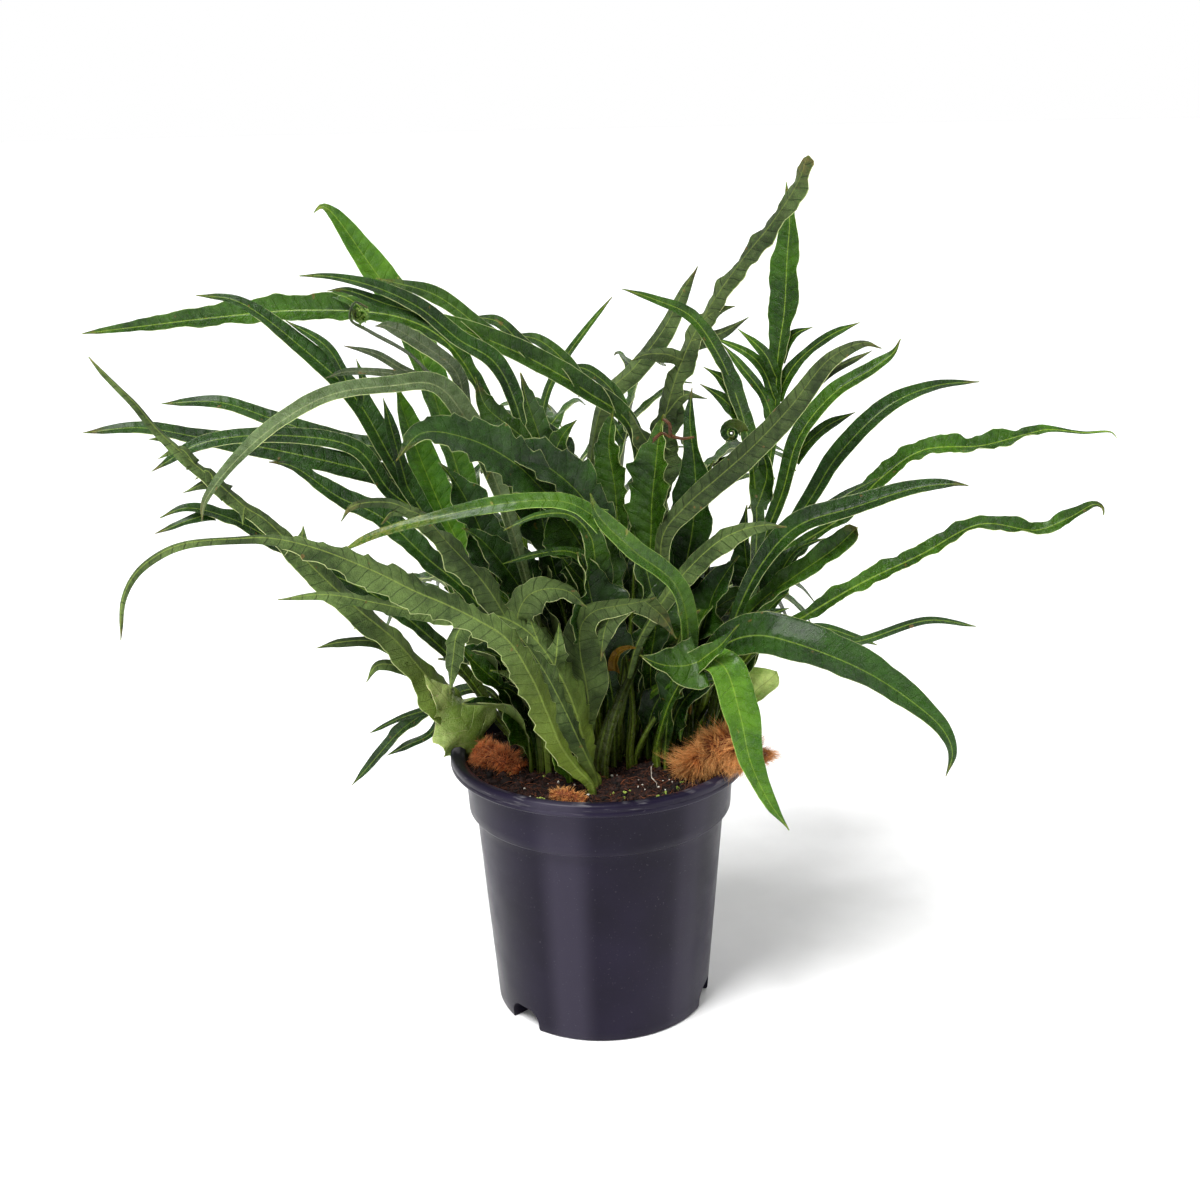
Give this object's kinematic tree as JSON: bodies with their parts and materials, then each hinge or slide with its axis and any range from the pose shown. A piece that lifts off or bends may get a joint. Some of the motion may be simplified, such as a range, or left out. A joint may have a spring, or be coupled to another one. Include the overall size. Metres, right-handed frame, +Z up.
{
  "type": "potted crown fern",
  "caption": "Bushy fern with long arching winged fronds, furry creeping rootstocks and dark soil in a round tapered nursery pot with drainage notches.",
  "frame": {"origin": "centre of the flat underside of the pot", "axes": "+Z up, -Y is the front of the plant, +X to the right seen from the front"},
  "size_m": [0.6173, 0.3341, 0.4787],
  "materials": {
    "pot": "satin",
    "soil": "matte",
    "rhizome_fur": "matte",
    "leaf_dark": "satin",
    "leaf_deep": "satin",
    "leaf_bright": "satin",
    "leaf_grey": "satin",
    "leaf_papery": "matte"
  },
  "bodies": {
    "root": {"pot": "pot", "soil": "soil", "rhizome_left": "rhizome_fur", "rhizome_right": "rhizome_fur", "rhizome_front": "rhizome_fur", "frond_left_arching": "leaf_grey", "frond_left_dark": "leaf_dark", "frond_front_long": "leaf_grey", "frond_front_short": "leaf_deep", "frond_front_winged": "leaf_grey", "frond_left_straight": "leaf_dark", "frond_left_branched": "leaf_dark", "frond_top_left": "leaf_dark", "frond_light_green": "leaf_bright", "frond_silvery_arch": "leaf_grey", "frond_dark_arch": "leaf_dark", "frond_long_arch": "leaf_deep", "frond_thin_upright": "leaf_deep", "frond_grey_upright": "leaf_grey", "frond_centre_broad": "leaf_dark", "frond_grey_green": "leaf_grey", "frond_bright": "leaf_bright", "frond_centre_thin": "leaf_deep", "frond_centre_folded": "leaf_deep", "frond_centre_right": "leaf_grey", "frond_ribbed_star": "leaf_grey", "frond_heart": "leaf_bright", "frond_bright_hanging": "leaf_bright", "frond_right_broad": "leaf_dark", "frond_right_curling": "leaf_deep", "frond_tall_upright": "leaf_deep", "frond_tall_twisted": "leaf_grey", "frond_diagonal_ribbed": "leaf_grey", "frond_shiny_dark": "leaf_dark", "frond_right_fork": "leaf_deep", "frond_right_rising": "leaf_dark", "frond_right_glossy": "leaf_dark", "frond_right_blunt": "leaf_deep", "frond_far_right": "leaf_deep", "frond_right_wavy": "leaf_deep", "shield_leaf_right": "leaf_papery", "frond_low_left": "leaf_dark", "frond_back_left": "leaf_deep", "frond_back_middle": "leaf_deep", "frond_back_tall": "leaf_deep", "frond_back_right": "leaf_deep", "frond_back_low_left": "leaf_deep", "frond_back_low_right": "leaf_deep"}
  },
  "joints": []
}
